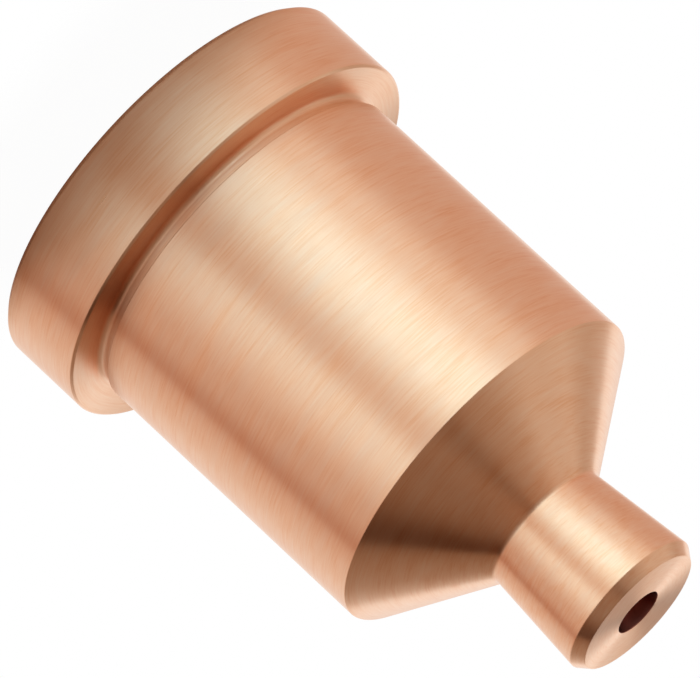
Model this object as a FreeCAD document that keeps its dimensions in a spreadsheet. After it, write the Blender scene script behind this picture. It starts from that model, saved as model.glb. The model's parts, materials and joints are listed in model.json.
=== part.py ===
import FreeCAD, Part
import enum
import os
import Sketcher

# Plasma torch nozzle: one piece of copper, turned from bar and bored from the rear.
# It stands on the rear face of its flange, with the nose up. The origin is the centre of that face
# and +Z is the axis of turning. All sizes are in millimetres.
driving_sizes = {
    # Outside, from the rear face to the tip.
    "flange_thickness": 4.3,
    "flange_lip": 1.5,  # how far the flange stands out of the body, all round
    "flange_rear_chamfer": 0.25,
    "flange_front_chamfer": 0.1,
    "body_diameter": 17.0,
    "body_length": 15.6,  # from the flange's front face to the shoulder where the cone starts
    "relief_width": 0.7,  # neck behind the flange's front face, which lets a cap seat flat
    "relief_depth": 0.25,
    "relief_root_fillet": 0.3,
    "cone_length": 3.75,
    "nose_root_diameter": 6.3,
    "nose_root_fillet": 0.3,
    "nose_length": 5.65,
    "nose_flare": 0.46,  # the nose widens by this much on the radius, from root to tip
    "tip_chamfer_depth": 0.39,
    "tip_chamfer_height": 0.53,
    # Inside, from the rear mouth to the exit.
    "body_wall": 2.2,
    "seat_ledge": 1.2,  # width of the step that the swirl ring rests on
    "seat_depth": 3.2,
    "seat_mouth_chamfer": 0.3,
    "shoulder_wall": 1.4,  # the chamber ends this far behind the outer shoulder
    "chamber_corner_fillet": 1.0,
    "entry_diameter": 3.6,  # small end of the inner cone
    "entry_setback": 2.2,  # the inner cone ends this far behind the nose root
    "throat_diameter": 1.3,
    "throat_length": 3.2,
    "exit_diameter": 2.34,
    "exit_depth": 0.7,
}

# Radii and heights of the outline's corners, as expressions of the driving sizes.
body_radius = "Sizes.body_diameter / 2"
flange_radius = f"{body_radius} + Sizes.flange_lip"
relief_radius = f"{body_radius} - Sizes.relief_depth"
nose_root_radius = "Sizes.nose_root_diameter / 2"
nose_end_radius = f"{nose_root_radius} + Sizes.nose_flare"
tip_radius = f"{nose_end_radius} - Sizes.tip_chamfer_depth"
chamber_radius = f"{body_radius} - Sizes.body_wall"
seat_radius = f"{chamber_radius} + Sizes.seat_ledge"
entry_radius = "Sizes.entry_diameter / 2"
throat_radius = "Sizes.throat_diameter / 2"
exit_radius = "Sizes.exit_diameter / 2"

flange_front = "Sizes.flange_thickness"
relief_end = f"{flange_front} + Sizes.relief_width"
shoulder = f"{flange_front} + Sizes.body_length"
nose_root = f"{shoulder} + Sizes.cone_length"
tip = f"{nose_root} + Sizes.nose_length"
nose_end = f"{tip} - Sizes.tip_chamfer_height"
seat_end = "Sizes.seat_depth"
chamber_end = f"{shoulder} - Sizes.shoulder_wall"
entry = f"{nose_root} - Sizes.entry_setback"
exit_start = f"{tip} - Sizes.exit_depth"
throat_start = f"{exit_start} - Sizes.throat_length"

# The sketcher numbers a line's two ends 1 and 2, and its own axes -1 and -2, with the origin on the first.
LineEnd = enum.IntEnum("LineEnd", ["start", "end"])
horizontal_axis = -1
vertical_axis = -2
sketch_origin = (horizontal_axis, LineEnd.start)
same_place = 1e-6  # edges are found by radius and height to this tolerance


def fill_spreadsheet(document):
    sheet = document.addObject("Spreadsheet::Sheet", "Sizes")
    for row, (name, value) in enumerate(driving_sizes.items(), start=1):
        sheet.set(f"A{row}", name)
        sheet.set(f"B{row}", str(value))
        sheet.setAlias(f"B{row}", name)
    document.recompute()
    return sheet


def number(body, expression):
    return float(body.evalExpression(expression))


def hold_corner(sketch, line, name, kind, axis, expression):
    """Ties the start of a line to an axis, or to a named distance from the origin."""
    if expression == "0":
        sketch.addConstraint(Sketcher.Constraint("PointOnObject", line, LineEnd.start, axis))
        return
    value = number(sketch, expression)
    held = sketch.addConstraint(Sketcher.Constraint(kind, *sketch_origin, line, LineEnd.start, value))
    sketch.renameConstraint(held, name)
    sketch.setExpression(f"Constraints.{name}", expression)


def half_section(body, name, corners):
    """Sketches a closed outline on the plane through the axis: each corner has a name, a radius and a height."""
    sketch = body.newObject("Sketcher::SketchObject", name)
    plane = [item for item in body.Origin.OriginFeatures if item.Role == "XZ_Plane"][0]
    sketch.AttachmentSupport = (plane, [""])
    sketch.MapMode = "FlatFace"
    points = [FreeCAD.Vector(number(body, r), number(body, z), 0) for _, r, z in corners]
    following = points[1:] + points[:1]
    for start, end in zip(points, following):
        sketch.addGeometry(Part.LineSegment(start, end), False)
    for line, (corner, radius, height) in enumerate(corners):
        before = (line - 1) % len(corners)
        joined = Sketcher.Constraint("Coincident", before, LineEnd.end, line, LineEnd.start)
        sketch.addConstraint(joined)
        hold_corner(sketch, line, f"{corner}_radius", "DistanceX", vertical_axis, radius)
        hold_corner(sketch, line, f"{corner}_height", "DistanceY", horizontal_axis, height)
    return sketch


def turn(body, kind, name, corners):
    """Turns a half section about the axis: PartDesign::Revolution adds metal, PartDesign::Groove takes it away."""
    sketch = half_section(body, f"{name}_section", corners)
    feature = body.newObject(kind, name)
    feature.Profile = sketch
    feature.ReferenceAxis = (sketch, ["V_Axis"])
    feature.Angle = 360
    body.Document.recompute()
    return feature


def circle_edges(body, places):
    """Names the circular edges of the body so far that lie at the given radii and heights."""
    found = []
    for radius, height in places:
        r = number(body, radius)
        z = number(body, height)
        for index, edge in enumerate(body.Tip.Shape.Edges, start=1):
            curve = edge.Curve
            if curve.TypeId != "Part::GeomCircle":
                continue
            if abs(curve.Radius - r) < same_place and abs(curve.Center.z - z) < same_place:
                found.append(f"Edge{index}")
    if len(found) != len(places):
        raise ValueError(f"{len(places)} edges were expected and {len(found)} found")
    return found


def dress(body, kind, name, size_property, size, places):
    """Adds a chamfer or a fillet of a named size on circular edges."""
    edges = circle_edges(body, places)
    base = body.Tip
    feature = body.newObject(kind, name)
    feature.Base = (base, edges)
    feature.setExpression(size_property, f"Sizes.{size}")
    body.Document.recompute()
    return feature


def make_nozzle(document):
    body = document.addObject("PartDesign::Body", "nozzle")
    body.Label = "nozzle"

    # The turned outside: flange, body, cone and a nose that flares to its chamfered tip.
    turn(body, "PartDesign::Revolution", "outside", [
        ("rear_centre", "0", "0"),
        ("rear_rim", flange_radius, "0"),
        ("front_rim", flange_radius, flange_front),
        ("body_root", body_radius, flange_front),
        ("shoulder", body_radius, shoulder),
        ("nose_root", nose_root_radius, nose_root),
        ("nose_end", nose_end_radius, nose_end),
        ("tip_rim", tip_radius, tip),
        ("tip_centre", "0", tip),
    ])
    turn(body, "PartDesign::Groove", "relief_neck", [
        ("inner_rear", relief_radius, flange_front),
        ("outer_rear", flange_radius, flange_front),
        ("outer_front", flange_radius, relief_end),
        ("inner_front", relief_radius, relief_end),
    ])

    # The gas path: swirl ring seat, electrode chamber, inner cone, taper, throat and exit.
    turn(body, "PartDesign::Groove", "gas_path", [
        ("mouth_centre", "0", "0"),
        ("mouth", seat_radius, "0"),
        ("seat", seat_radius, seat_end),
        ("ledge", chamber_radius, seat_end),
        ("chamber_end", chamber_radius, chamber_end),
        ("entry", entry_radius, entry),
        ("throat_start", throat_radius, throat_start),
        ("throat_end", throat_radius, exit_start),
        ("exit_start", exit_radius, exit_start),
        ("exit_rim", exit_radius, tip),
        ("exit_centre", "0", tip),
    ])

    # Edges broken and corners blended by the tools.
    dress(body, "PartDesign::Chamfer", "flange_rear_edge", "Size", "flange_rear_chamfer",
          [(flange_radius, "0")])
    dress(body, "PartDesign::Chamfer", "flange_front_edge", "Size", "flange_front_chamfer",
          [(flange_radius, flange_front)])
    dress(body, "PartDesign::Chamfer", "seat_mouth", "Size", "seat_mouth_chamfer",
          [(seat_radius, "0")])
    dress(body, "PartDesign::Fillet", "relief_root", "Radius", "relief_root_fillet",
          [(relief_radius, flange_front)])
    dress(body, "PartDesign::Fillet", "nose_root_corner", "Radius", "nose_root_fillet",
          [(nose_root_radius, nose_root)])
    dress(body, "PartDesign::Fillet", "chamber_corner", "Radius", "chamber_corner_fillet",
          [(chamber_radius, chamber_end)])
    return body


def check(document, bodies):
    for item in document.Objects:
        for fault in ("Invalid", "Error"):
            if fault in item.State:
                raise ValueError(f"{item.Label} is {item.State}")
    for body in bodies:
        if body.Shape.isNull() or not body.Shape.isValid():
            raise ValueError(f"{body.Label} has no valid solid")
        if len(body.Shape.Solids) != 1:
            raise ValueError(f"{body.Label} should be one solid")


def write_parts(bodies):
    os.makedirs("parts", exist_ok=True)
    for body in bodies:
        body.Shape.exportStep(f"parts/{body.Label}.step")
        print(f"{body.Label}: {body.Shape.Volume / 1000:.3f} cm3")


document = FreeCAD.newDocument("plasma_torch_nozzle")
fill_spreadsheet(document)
bodies = [make_nozzle(document)]
document.recompute()
check(document, bodies)
write_parts(bodies)
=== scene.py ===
import json
import math

import bmesh
import bpy
from mathutils import Matrix, Vector


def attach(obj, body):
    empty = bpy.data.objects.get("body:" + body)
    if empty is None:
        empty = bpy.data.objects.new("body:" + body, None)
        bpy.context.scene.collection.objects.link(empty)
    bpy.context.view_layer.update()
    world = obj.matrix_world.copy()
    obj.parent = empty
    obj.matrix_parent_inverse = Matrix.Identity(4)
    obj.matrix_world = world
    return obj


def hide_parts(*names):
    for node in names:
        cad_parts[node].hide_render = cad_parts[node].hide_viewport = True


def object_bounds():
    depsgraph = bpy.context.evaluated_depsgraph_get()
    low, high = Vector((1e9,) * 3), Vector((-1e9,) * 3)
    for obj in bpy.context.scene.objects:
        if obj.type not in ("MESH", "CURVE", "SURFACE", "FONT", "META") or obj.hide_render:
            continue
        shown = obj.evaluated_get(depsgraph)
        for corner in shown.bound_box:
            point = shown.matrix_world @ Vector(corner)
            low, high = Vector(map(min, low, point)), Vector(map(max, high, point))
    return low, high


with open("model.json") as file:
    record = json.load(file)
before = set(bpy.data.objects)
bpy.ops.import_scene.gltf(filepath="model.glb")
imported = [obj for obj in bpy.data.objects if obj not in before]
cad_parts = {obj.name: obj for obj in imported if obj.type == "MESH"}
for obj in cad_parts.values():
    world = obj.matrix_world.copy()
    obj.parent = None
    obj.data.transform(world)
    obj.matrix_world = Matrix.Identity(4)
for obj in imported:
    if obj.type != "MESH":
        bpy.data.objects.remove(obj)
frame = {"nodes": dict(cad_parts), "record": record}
cadLow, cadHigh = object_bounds()
millimetre = 0.001
mounts = {mount["name"]: mount for mount in frame["record"]["mounts"]}
print("frame loaded:", ", ".join(frame["nodes"]))


# small helpers for nodes


def addNode(tree, kind, settings=None, **inputs):
    node = tree.nodes.new(kind)
    for name, value in (settings or {}).items():
        setattr(node, name, value)
    for name, value in inputs.items():
        plugIn(tree, node.inputs[name], value)
    return node


def plugIn(tree, socket, value):
    if isinstance(value, bpy.types.NodeSocket):
        tree.links.new(value, socket)
    else:
        socket.default_value = value


def doMath(tree, operation, first, second=0.0, third=0.0):
    node = tree.nodes.new("ShaderNodeMath")
    node.operation = operation
    for socket, value in zip(node.inputs, (first, second, third)):
        plugIn(tree, socket, value)
    return node.outputs[0]


def vectorMath(tree, operation, first, second=(0.0, 0.0, 0.0), result="Vector"):
    node = tree.nodes.new("ShaderNodeVectorMath")
    node.operation = operation
    plugIn(tree, node.inputs[0], first)
    plugIn(tree, node.inputs[1], second)
    return node.outputs[result]


def colourRamp(tree, factor, stops, interpolation="LINEAR"):
    node = tree.nodes.new("ShaderNodeValToRGB")
    node.color_ramp.interpolation = interpolation
    elements = node.color_ramp.elements
    while len(elements) < len(stops):
        elements.new(1.0)
    for element, (place, colour) in zip(elements, stops):
        element.position = place
        element.color = (*colour, 1.0) if hasattr(colour, "__len__") else (colour, colour, colour, 1.0)
    plugIn(tree, node.inputs["Fac"], factor)
    return node.outputs["Color"]


def mixShaders(tree, factor, first, second):
    node = tree.nodes.new("ShaderNodeMixShader")
    for socket, value in zip(node.inputs, (factor, first, second)):
        plugIn(tree, socket, value)
    return node.outputs[0]


def mixColours(tree, factor, first, second):
    node = addNode(tree, "ShaderNodeMix", {"data_type": "RGBA"})
    for socket, value in zip((node.inputs[0], node.inputs[6], node.inputs[7]), (factor, first, second)):
        plugIn(tree, socket, value)
    return node.outputs[2]


def newMaterial(name):
    material = bpy.data.materials.new(name)
    material.use_nodes = True
    material.node_tree.nodes.clear()
    return material, material.node_tree


# the nozzle: a half section of corners, rounded where a tool leaves a radius, spun about Z

nozzle = {
    # millimetres; the diameters and the lengths of the flange, body and whole come from the frame
    "rearChamfer": 0.25,
    "frontChamfer": 0.1,
    "reliefDepth": 0.25,
    "reliefRootRadius": 0.3,
    "noseRootRadius": 3.15,
    "noseRootFillet": 0.3,
    "noseLength": 5.65,
    "noseFlare": 0.46,
    "tipChamferDepth": 0.39,
    "tipChamferHeight": 0.53,
    "seatDepth": 3.2,
    "mouthChamfer": 0.3,
    "shoulderWall": 1.4,
    "chamberFillet": 1.0,
    "entryRadius": 1.8,
    "entrySetback": 2.2,
    "throatRadius": 0.65,
    "throatLength": 3.2,
    "exitRadius": 1.17,
    "exitDepth": 0.7,
    "edgeBreak": 0.03,  # a deburred edge
    "spinSteps": 256,
    "roundSegments": 5,
    "supportGap": 0.03,  # loops this close to each corner keep the long walls' shading flat
}


def halfSection():
    # each corner: radius, height and how far along its edges the rounding reaches, in millimetres
    size = nozzle
    flange = cadHigh.x / millimetre
    tip = cadHigh.z / millimetre
    body = mounts["body_outside"]["dims"]["r_mm"]
    bodyMiddle = mounts["body_outside"]["pos_m"][2] / millimetre
    bodyLength = mounts["body_outside"]["dims"]["length_mm"]
    bodyStart = bodyMiddle - bodyLength / 2
    shoulder = bodyMiddle + bodyLength / 2
    chamber = mounts["electrode_chamber"]["dims"]["r_mm"]
    seat = mounts["swirl_ring_seat"]["dims"]["r_mm"]
    edge = size["edgeBreak"]
    front = mounts["cap_shoulder"]["pos_m"][2] / millimetre
    relief = body - size["reliefDepth"]
    noseRoot = tip - size["noseLength"]
    noseEnd = size["noseRootRadius"] + size["noseFlare"]
    exitStart = tip - size["exitDepth"]
    return [
        (seat + size["mouthChamfer"], 0, edge),
        (flange - size["rearChamfer"], 0, edge),
        (flange, size["rearChamfer"], edge),
        (flange, front - size["frontChamfer"], edge),
        (flange - size["frontChamfer"], front, edge),
        (relief, front, size["reliefRootRadius"]),
        (relief, bodyStart, 0),
        (body, bodyStart, edge),
        (body, shoulder, edge),
        (size["noseRootRadius"], noseRoot, size["noseRootFillet"] / 2),
        (noseEnd, tip - size["tipChamferHeight"], edge),
        (noseEnd - size["tipChamferDepth"], tip, edge),
        (size["exitRadius"], tip, edge),
        (size["exitRadius"], exitStart, 0),
        (size["throatRadius"], exitStart, 0),
        (size["throatRadius"], exitStart - size["throatLength"], 0),
        (size["entryRadius"], noseRoot - size["entrySetback"], 0),
        (chamber, shoulder - size["shoulderWall"], size["chamberFillet"] / 2),
        (chamber, size["seatDepth"], edge),
        (seat, size["seatDepth"], 0),
        (seat, size["mouthChamfer"], edge),
    ]


def drawSection(mesh, corners):
    verts = [mesh.verts.new((r * millimetre, 0, z * millimetre)) for r, z, _ in corners]
    for start, end in zip(verts, verts[1:] + verts[:1]):
        mesh.edges.new((start, end))
    for vert, (_, _, reach) in zip(verts, corners):
        if reach:
            bmesh.ops.bevel(mesh, geom=[vert], offset=reach * millimetre, offset_type="OFFSET",
                            segments=nozzle["roundSegments"], profile=0.5, affect="VERTICES",
                            material=-1, clamp_overlap=False)


def addSupportLoops(mesh):
    gap = nozzle["supportGap"] * millimetre
    for edge in mesh.edges[:]:
        if edge.calc_length() > 4 * gap:
            far = edge.verts[1]
            bmesh.utils.edge_split(edge, edge.verts[0], gap / edge.calc_length())
            rest = max(far.link_edges, key=lambda item: item.calc_length() if item.other_vert(far) else 0)
            if rest.calc_length() > 2 * gap:
                bmesh.utils.edge_split(rest, far, gap / rest.calc_length())


def makeNozzle():
    mesh = bmesh.new()
    drawSection(mesh, halfSection())
    addSupportLoops(mesh)
    bmesh.ops.spin(mesh, geom=mesh.verts[:] + mesh.edges[:], cent=(0, 0, 0), axis=(0, 0, 1),
                   angle=2 * math.pi, steps=nozzle["spinSteps"], use_merge=True)
    bmesh.ops.remove_doubles(mesh, verts=mesh.verts[:], dist=1e-7)
    bmesh.ops.recalc_face_normals(mesh, faces=mesh.faces[:])
    data = bpy.data.meshes.new("turnedNozzle")
    mesh.to_mesh(data)
    mesh.free()
    data.shade_smooth()
    data.set_sharp_from_angle(angle=math.radians(30))
    piece = bpy.data.objects.new("turnedNozzle", data)
    bpy.context.scene.collection.objects.link(piece)
    data.materials.append(makeCopper())
    print("nozzle turned:", len(data.polygons), "faces")
    return piece


# copper, freshly turned: fine rings from the tool, stretched gloss along the profile

copper = {
    "tan": (0.95, 0.59, 0.38),
    "pale": (0.97, 0.65, 0.45),
    "brown": (0.90, 0.50, 0.29),
    "roughness": 0.30,
    "roughnessSwing": 0.10,
    "anisotropy": 0.95,
    "ringsPerMillimetre": 14.0,
    "streaksAround": 4.5,  # how quickly a ring fades along its way round
    "ringHeight": 0.0030,  # millimetres
    "bandsPerMillimetre": 1.6,
    "paintedBoreShade": (0.40, 0.15, 0.12),  # the drilled exit and throat: painted shade, a dull dark red-brown standing in for the shade deep inside the bore
}


def ringNoise(tree, around, height, radius, perMillimetre, spread, detail):
    # noise that runs round the axis: quick across the rings, slow along them
    quick = perMillimetre / millimetre
    slow = vectorMath(tree, "MULTIPLY", around, (spread, spread, 0.0))
    across = addNode(tree, "ShaderNodeCombineXYZ", X=0.0, Y=0.0, Z=doMath(tree, "MULTIPLY", height, quick))
    place = vectorMath(tree, "ADD", slow, across.outputs["Vector"])
    noise = addNode(tree, "ShaderNodeTexNoise", {"noise_dimensions": "4D"}, Vector=place,
                    W=doMath(tree, "MULTIPLY", radius, quick), Scale=1.0, Detail=detail, Roughness=0.6)
    return noise.outputs["Fac"]


def makeCopper():
    material, tree = newMaterial("turnedCopper")
    place = addNode(tree, "ShaderNodeTexCoord").outputs["Object"]
    flat = vectorMath(tree, "MULTIPLY", place, (1.0, 1.0, 0.0))
    radius = vectorMath(tree, "LENGTH", flat, result="Value")
    around = vectorMath(tree, "NORMALIZE", flat)
    height = addNode(tree, "ShaderNodeSeparateXYZ", Vector=place).outputs["Z"]

    rings = ringNoise(tree, around, height, radius, copper["ringsPerMillimetre"], copper["streaksAround"], 3.0)
    bands = ringNoise(tree, around, height, radius, copper["bandsPerMillimetre"], 2.5, 2.0)
    mixed = doMath(tree, "ADD", doMath(tree, "MULTIPLY", rings, 0.6), doMath(tree, "MULTIPLY", bands, 0.4))
    colour = colourRamp(tree, mixed, [(0.35, copper["brown"]), (0.50, copper["tan"]), (0.65, copper["pale"])])
    swing = doMath(tree, "MULTIPLY", doMath(tree, "SUBTRACT", bands, 0.5), copper["roughnessSwing"])
    # everything inside the exit's radius takes the painted shade colour of the bore
    bored = doMath(tree, "LESS_THAN", radius, (nozzle["exitRadius"] + nozzle["edgeBreak"] / 2) * millimetre)
    bump = addNode(tree, "ShaderNodeBump", Strength=1.0, Distance=copper["ringHeight"] * millimetre, Height=rings)
    tangent = addNode(tree, "ShaderNodeTangent", {"direction_type": "RADIAL", "axis": "Z"})
    shader = addNode(tree, "ShaderNodeBsdfPrincipled", **{
        "Base Color": mixColours(tree, bored, colour, (*copper["paintedBoreShade"], 1.0)),
        "Metallic": 1.0,
        "Roughness": doMath(tree, "ADD", swing, copper["roughness"]),
        "Anisotropic": copper["anisotropy"],
        "Anisotropic Rotation": 0.25,
        "Tangent": tangent.outputs["Tangent"],
        "Normal": bump.outputs["Normal"],
    })
    addNode(tree, "ShaderNodeOutputMaterial", Surface=shader.outputs["BSDF"])
    return material


# stage: a pale round table that keeps a soft shadow and fades into the backdrop

stage = {
    "tableRadius": 0.12,
    "paint": (0.86, 0.86, 0.86),
    "whiteNear": 0.97,  # how much plain white the camera sees in the table beside the nozzle
    "nearMiddle": (0.0, -0.010, 0.0),  # the part that the flange is mirrored from lies before it
    "fadeStart": 0.007,
    "fadeEnd": 0.014,
}


def makeFloor():
    mesh = bmesh.new()
    bmesh.ops.create_circle(mesh, cap_ends=True, segments=64, radius=stage["tableRadius"])
    data = bpy.data.meshes.new("paleFloor")
    mesh.to_mesh(data)
    mesh.free()
    floor = bpy.data.objects.new("paleFloor", data)
    bpy.context.scene.collection.objects.link(floor)

    material, tree = newMaterial("paleFloor")
    place = addNode(tree, "ShaderNodeTexCoord").outputs["Object"]
    distance = vectorMath(tree, "DISTANCE", place, stage["nearMiddle"], result="Value")
    fade = addNode(tree, "ShaderNodeMapRange", {"interpolation_type": "SMOOTHSTEP"}, **{
        "Value": distance, "From Min": stage["fadeStart"], "From Max": stage["fadeEnd"],
    })
    path = addNode(tree, "ShaderNodeLightPath")
    mirrored = doMath(tree, "MAXIMUM", path.outputs["Is Glossy Ray"], path.outputs["Is Transmission Ray"])
    seen = doMath(tree, "MAXIMUM", path.outputs["Is Camera Ray"], mirrored)
    clear = doMath(tree, "MULTIPLY", fade.outputs["Result"], seen)
    whiter = doMath(tree, "MULTIPLY", path.outputs["Is Camera Ray"], stage["whiteNear"])
    paint = addNode(tree, "ShaderNodeBsdfDiffuse", Color=(*stage["paint"], 1.0))
    white = addNode(tree, "ShaderNodeEmission", Color=(1.0, 1.0, 1.0, 1.0), Strength=1.0)
    backdrop = addNode(tree, "ShaderNodeBsdfTransparent")
    near = mixShaders(tree, whiter, paint.outputs[0], white.outputs[0])
    whole = mixShaders(tree, clear, near, backdrop.outputs[0])
    addNode(tree, "ShaderNodeOutputMaterial", Surface=whole)
    data.materials.append(material)
    print("floor laid")


# light: a studio drawn as two rings of brightness, one below the horizon and one above it

studio = {
    # brightness by the compass angle halfway between a direction and the camera's, positive towards
    # +X: the grooves at that angle on the nozzle gather their light from there
    "below": [(-180, 0.8), (-85, 0.62), (-70, 0.50), (-53, 0.49), (-44, 0.58), (-36, 0.90), (-29, 1.08),
              (-23, 1.50), (-17, 1.80), (-10, 1.76), (-4.5, 1.42), (1, 1.02), (5, 0.86), (8, 0.94),
              (13, 1.30), (19, 1.18), (25, 0.90), (32, 0.66), (39, 0.58), (44, 0.42), (47.5, 0.32),
              (50, 0.54), (57, 0.70), (70, 0.88), (90, 0.88), (180, 0.8)],
    "above": [(-180, 0.6), (-85, 0.50), (-65, 0.42), (-52, 0.60), (-41, 0.56), (-32, 0.56), (-24, 0.42),
              (-17, 0.31), (-9, 0.24), (-3, 0.12), (5, 0.20), (12, 0.17), (20, 0.16), (28, 0.11),
              (36, 0.04), (44.5, 0.02), (46, 0.14), (56, 0.20), (68, 0.24), (85, 0.50), (180, 0.6)],
    "brightest": 2.0,
    "belowEnds": -0.05,  # both as the sine of the height angle
    "aboveStarts": 0.25,
    "warmth": {"below": (0.55, 1.0, 1.2), "above": (0.75, 1.0, 1.2)},  # dim walls are warmer than bright ones
    "backdropStarts": 0.86,  # the white backdrop's edge, as its distance straight back from the camera
    "backdropFull": 0.93,
}


def brightnessRing(tree, share, name):
    tinted = [((angle + 180) / 360, [level ** power / studio["brightest"] for power in studio["warmth"][name]])
              for angle, level in studio[name]]
    return colourRamp(tree, share, tinted)


def makeWorld():
    world = bpy.data.worlds.new("studio")
    world.use_nodes = True
    tree = world.node_tree
    tree.nodes.clear()
    direction = addNode(tree, "ShaderNodeTexCoord").outputs["Generated"]
    parts = addNode(tree, "ShaderNodeSeparateXYZ", Vector=direction)
    front = doMath(tree, "SUBTRACT", math.cos(math.radians(camera["elevation"])), parts.outputs["Y"])
    turn = doMath(tree, "ARCTAN2", parts.outputs["X"], front)
    share = doMath(tree, "MULTIPLY_ADD", turn, 1 / (2 * math.pi), 0.5)
    rise = addNode(tree, "ShaderNodeMapRange", {"interpolation_type": "SMOOTHSTEP"}, **{
        "Value": parts.outputs["Z"], "From Min": studio["belowEnds"], "From Max": studio["aboveStarts"],
    })
    below, above = [
        addNode(tree, "ShaderNodeBackground", Color=brightnessRing(tree, share, name), Strength=studio["brightest"])
        for name in ("below", "above")
    ]
    walls = mixShaders(tree, rise.outputs["Result"], below.outputs[0], above.outputs[0])
    white = addNode(tree, "ShaderNodeBackground", Color=(1.0, 1.0, 1.0, 1.0))
    behind = addNode(tree, "ShaderNodeMapRange", {"interpolation_type": "SMOOTHSTEP"}, **{
        "Value": parts.outputs["Y"], "From Min": studio["backdropStarts"], "From Max": studio["backdropFull"],
    })
    path = addNode(tree, "ShaderNodeLightPath")
    mirrored = doMath(tree, "MAXIMUM", path.outputs["Is Glossy Ray"], path.outputs["Is Transmission Ray"])
    backdrop = doMath(tree, "MULTIPLY", mirrored, behind.outputs["Result"])
    seen = doMath(tree, "MAXIMUM", path.outputs["Is Camera Ray"], backdrop)
    addNode(tree, "ShaderNodeOutputWorld", Surface=mixShaders(tree, seen, walls, white.outputs[0]))
    bpy.context.scene.world = world
    print("studio lit")


def aimAt(item, azimuth, elevation, distance, target):
    # azimuth 0 is on the -Y side and turns towards +X
    a, e = math.radians(azimuth), math.radians(elevation)
    away = Vector((math.sin(a) * math.cos(e), -math.cos(a) * math.cos(e), math.sin(e)))
    item.rotation_mode = "QUATERNION"
    item.rotation_quaternion = away.to_track_quat("Z", "Y")
    item.location = target + away * distance


# camera: a long lens, rolled so that the nose points down to the right

camera = {
    "elevation": 19.15,
    "roll": 132.73,
    "distance": 0.386,
    "lens": 455.7,
    "aimHeight": 0.015,  # the point on the axis that the framing is set from
    "aimRight": 0.00248,  # how far that point sits right of the frame's middle, and below it
    "aimBelow": 0.00260,
}


def makeCamera():
    data = bpy.data.cameras.new("camera")
    data.lens = camera["lens"]
    data.sensor_width = 36.0
    data.clip_start = 0.01
    item = bpy.data.objects.new("camera", data)
    bpy.context.scene.collection.objects.link(item)
    aimAt(item, 0, camera["elevation"], camera["distance"], Vector((0, 0, camera["aimHeight"])))
    level = item.rotation_quaternion.to_matrix()
    turned = level @ Matrix.Rotation(math.radians(camera["roll"]), 3, "Z")
    item.rotation_quaternion = turned.to_quaternion()
    item.location += turned @ Vector((-camera["aimRight"], camera["aimBelow"], 0))
    bpy.context.scene.camera = item


piece = makeNozzle()
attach(piece, "root")
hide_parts("nozzle")
makeFloor()
makeWorld()
makeCamera()
bpy.context.scene.view_settings.view_transform = "Standard"
